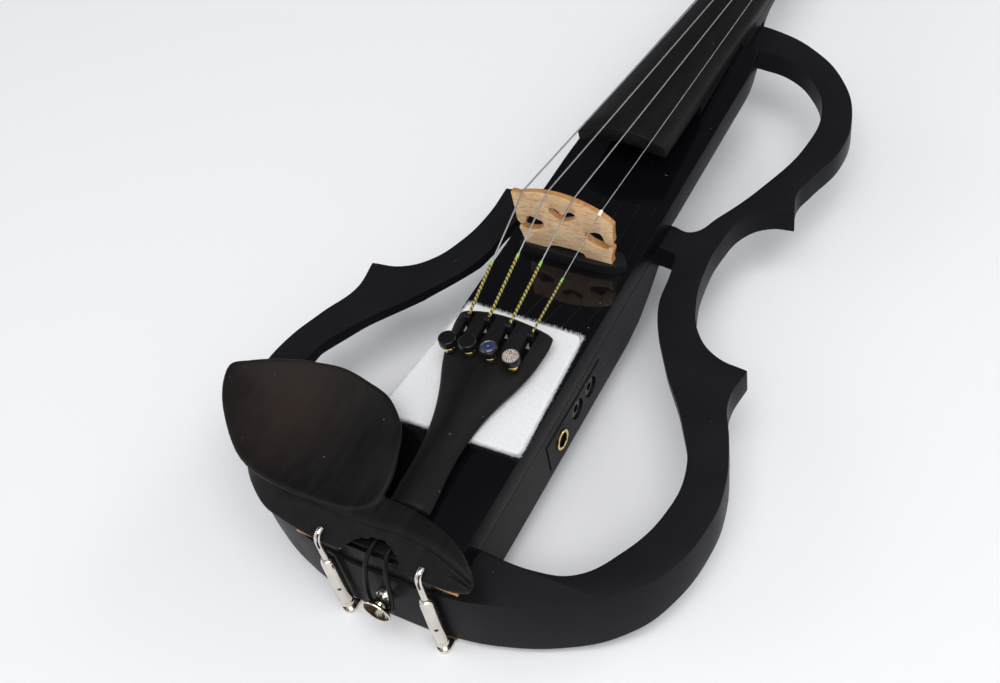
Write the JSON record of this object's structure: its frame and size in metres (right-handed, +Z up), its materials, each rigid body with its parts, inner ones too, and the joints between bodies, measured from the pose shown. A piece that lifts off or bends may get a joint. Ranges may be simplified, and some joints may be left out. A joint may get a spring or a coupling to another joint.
{
  "type": "electric violin",
  "caption": "Full-size electric violin with an open skeleton frame, a narrow gloss board, tailpiece with fine tuners, chin rest and tuning pegs.",
  "frame": {"origin": "bottom centre of the bounding box, on the surface that the violin lies on", "axes": "+X to the treble side, +Y from the tail towards the scroll, +Z up from the surface; the violin's own long axis rises 1.6 degrees towards the scroll"},
  "size_m": [0.204, 0.6026, 0.0887],
  "materials": {
    "gloss_black": "high gloss black lacquer over a flat board",
    "satin_black": "satin black lacquer",
    "ebony": "black ebony, matte with a worn patch on the chin rest",
    "black_nylon": "black nylon cord",
    "maple": "pale quarter-sawn maple with flecks",
    "string_steel": "wound steel with dark and yellow silk ends",
    "black_metal": "black enamelled metal",
    "brass": "polished brass",
    "nickel": "polished nickel plate",
    "cork": "pressed cork",
    "foam": "white packing foam",
    "circuit_board": "green circuit board",
    "battery_case": "plain metal can",
    "black_plastic": "moulded black plastic"
  },
  "bodies": {
    "violin_body": {"aux_jack": "black_metal", "bass_frame": "satin_black", "battery": "battery_case", "bridge": "maple", "chin_rest": "ebony", "chin_rest_cork_bass": "cork", "chin_rest_cork_treble": "cork", "clamp_foot": "nickel", "clamp_foot_cork": "cork", "clamp_hook_bass": "nickel", "clamp_hook_treble": "nickel", "control_plate": "black_plastic", "electronics_housing": "satin_black", "end_button": "nickel", "fingerboard": "ebony", "headphone_jack": "black_metal", "jack_panel": "satin_black", "neck_and_scroll": "satin_black", "nut": "ebony", "output_jack": "brass", "packing_foam": "foam", "pickup_bar": "black_plastic", "plate_screw_front": "black_metal", "plate_screw_rear": "black_metal", "preamp_board": "circuit_board", "saddle": "ebony", "string_a": "string_steel", "string_d": "string_steel", "string_e": "string_steel", "string_g": "string_steel", "tail_block": "satin_black", "tailgut": "black_nylon", "tailpiece": "ebony", "top_board": "gloss_black", "treble_frame": "satin_black", "tuner_nut_a": "brass", "tuner_nut_d": "brass", "tuner_nut_e": "brass", "tuner_nut_g": "brass"},
    "peg_g": {"peg_g": "ebony"},
    "peg_e": {"peg_e": "ebony"},
    "peg_d": {"peg_d": "ebony"},
    "peg_a": {"peg_a": "ebony"},
    "tuner_screw_g": {"tuner_screw_g": "black_metal"},
    "tuner_lever_g": {"tuner_lever_g": "black_metal"},
    "tuner_screw_d": {"tuner_screw_d": "black_metal"},
    "tuner_lever_d": {"tuner_lever_d": "black_metal"},
    "tuner_screw_a": {"tuner_screw_a": "black_metal"},
    "tuner_lever_a": {"tuner_lever_a": "black_metal"},
    "tuner_screw_e": {"tuner_screw_e": "black_metal"},
    "tuner_lever_e": {"tuner_lever_e": "black_metal"},
    "clamp_barrel_bass": {"clamp_barrel_bass": "nickel"},
    "clamp_barrel_treble": {"clamp_barrel_treble": "nickel"},
    "battery_door": {"battery_door": "black_plastic"},
    "volume_knob": {"volume_knob": "black_plastic"},
    "tone_knob": {"tone_knob": "black_plastic"},
    "power_switch": {"power_switch": "black_plastic"}
  },
  "joints": [
    {"name": "peg_g_turn", "type": "hinge", "parent": "violin_body", "child": "peg_g", "pos_m": [0, 0.21049, 0.03234], "axis": [1, 0, 0], "continuous": true},
    {"name": "peg_e_turn", "type": "hinge", "parent": "violin_body", "child": "peg_e", "pos_m": [0, 0.22257, 0.02967], "axis": [1, 0, 0], "continuous": true},
    {"name": "peg_d_turn", "type": "hinge", "parent": "violin_body", "child": "peg_d", "pos_m": [0, 0.23666, 0.02677], "axis": [1, 0, 0], "continuous": true},
    {"name": "peg_a_turn", "type": "hinge", "parent": "violin_body", "child": "peg_a", "pos_m": [0, 0.24873, 0.0245], "axis": [1, 0, 0], "continuous": true},
    {"name": "tuner_g_turn", "type": "hinge", "parent": "violin_body", "child": "tuner_screw_g", "pos_m": [-0.0161, -0.20398, 0.06848], "axis": [0, -0.0279, 0.9996], "range_deg": [-360, 360]},
    {"name": "tuner_g_lever", "type": "hinge", "parent": "violin_body", "child": "tuner_lever_g", "pos_m": [-0.0161, -0.19424, 0.05306], "axis": [1, 0, 0], "range_deg": [-2.5, 2.5]},
    {"name": "tuner_d_turn", "type": "hinge", "parent": "violin_body", "child": "tuner_screw_d", "pos_m": [-0.0066, -0.20398, 0.06848], "axis": [0, -0.0279, 0.9996], "range_deg": [-360, 360]},
    {"name": "tuner_d_lever", "type": "hinge", "parent": "violin_body", "child": "tuner_lever_d", "pos_m": [-0.0066, -0.19431, 0.05555], "axis": [1, 0, 0], "range_deg": [-2.5, 2.5]},
    {"name": "tuner_a_turn", "type": "hinge", "parent": "violin_body", "child": "tuner_screw_a", "pos_m": [0.0029, -0.20398, 0.06848], "axis": [0, -0.0279, 0.9996], "range_deg": [-360, 360]},
    {"name": "tuner_a_lever", "type": "hinge", "parent": "violin_body", "child": "tuner_lever_a", "pos_m": [0.0029, -0.19432, 0.05581], "axis": [1, 0, 0], "range_deg": [-2.5, 2.5]},
    {"name": "tuner_e_turn", "type": "hinge", "parent": "violin_body", "child": "tuner_screw_e", "pos_m": [0.0124, -0.20398, 0.06848], "axis": [0, -0.0279, 0.9996], "range_deg": [-360, 360]},
    {"name": "tuner_e_lever", "type": "hinge", "parent": "violin_body", "child": "tuner_lever_e", "pos_m": [0.0124, -0.19427, 0.05384], "axis": [1, 0, 0], "range_deg": [-2.5, 2.5]},
    {"name": "clamp_bass_turn", "type": "hinge", "parent": "violin_body", "child": "clamp_barrel_bass", "pos_m": [-0.0216, -0.29473, 0.01893], "axis": [0, -0.0279, 0.9996], "continuous": true},
    {"name": "clamp_treble_turn", "type": "hinge", "parent": "violin_body", "child": "clamp_barrel_treble", "pos_m": [0.0216, -0.29473, 0.01893], "axis": [0, -0.0279, 0.9996], "continuous": true},
    {"name": "battery_door_slide", "type": "slide", "parent": "violin_body", "child": "battery_door", "axis": [0, 0.9996, 0.0279], "range_m": [0, 0.045]},
    {"name": "volume_turn", "type": "hinge", "parent": "violin_body", "child": "volume_knob", "pos_m": [-0.008, -0.22817, 0.01418], "axis": [0, -0.0279, 0.9996], "range_deg": [-150, 150]},
    {"name": "tone_turn", "type": "hinge", "parent": "violin_body", "child": "tone_knob", "pos_m": [-0.008, -0.20418, 0.01485], "axis": [0, -0.0279, 0.9996], "range_deg": [-150, 150]},
    {"name": "power_slide", "type": "slide", "parent": "violin_body", "child": "power_switch", "axis": [0, 0.9996, 0.0279], "range_m": [0, 0.003]}
  ],
  "couplings": [
    {"joint": "tuner_g_turn", "follows": "tuner_g_lever", "ratio": -144},
    {"joint": "tuner_d_turn", "follows": "tuner_d_lever", "ratio": -144},
    {"joint": "tuner_a_turn", "follows": "tuner_a_lever", "ratio": -144},
    {"joint": "tuner_e_turn", "follows": "tuner_e_lever", "ratio": -144}
  ]
}
